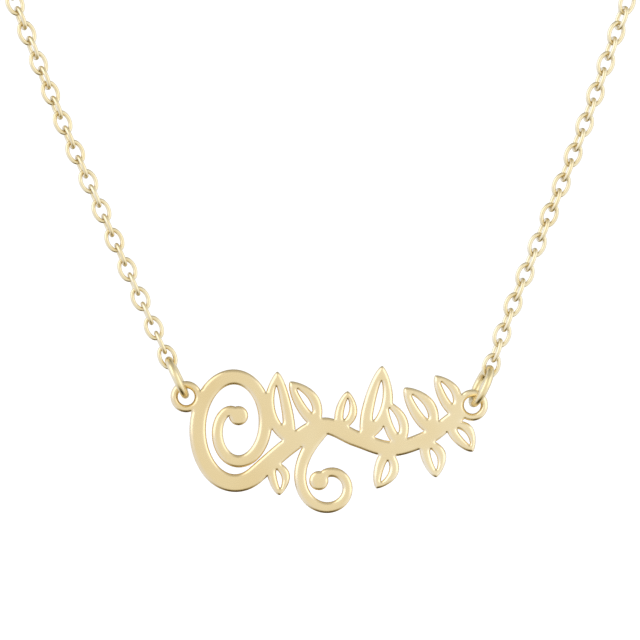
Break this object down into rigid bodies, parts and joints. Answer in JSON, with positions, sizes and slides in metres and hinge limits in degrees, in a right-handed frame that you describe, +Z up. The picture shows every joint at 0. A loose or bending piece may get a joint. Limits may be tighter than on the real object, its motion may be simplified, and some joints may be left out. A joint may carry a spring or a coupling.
{
  "type": "nameplate necklace",
  "caption": "Necklace with a pierced scroll plate that hangs on two jump rings from an oval cable chain, closed by a ring clasp at the nape.",
  "frame": {"origin": "middle of the neck that the necklace goes round, at the height of the clasp", "axes": "+X to the right of someone who looks at the plate, +Y away from them to the clasp, +Z up along the neck"},
  "size_m": [0.1133, 0.1006, 0.1151],
  "materials": {
    "plate_gold": "polished pale yellow gold",
    "ring_gold": "polished pale yellow gold wire",
    "chain_gold": "polished pale yellow gold wire",
    "clasp_gold": "polished pale yellow gold"
  },
  "bodies": {
    "chain": {"chain_left": "chain_gold", "chain_right": "chain_gold", "jump_ring_left": "ring_gold", "jump_ring_right": "ring_gold", "clasp": "clasp_gold"},
    "plate": {"nameplate": "plate_gold"}
  },
  "joints": [
    {"name": "plate_rock", "type": "hinge", "parent": "chain", "child": "plate", "pos_m": [0.001, -0.048, -0.0987], "axis": [0.9996, 0, -0.0286], "range_deg": [-30, 30]}
  ]
}
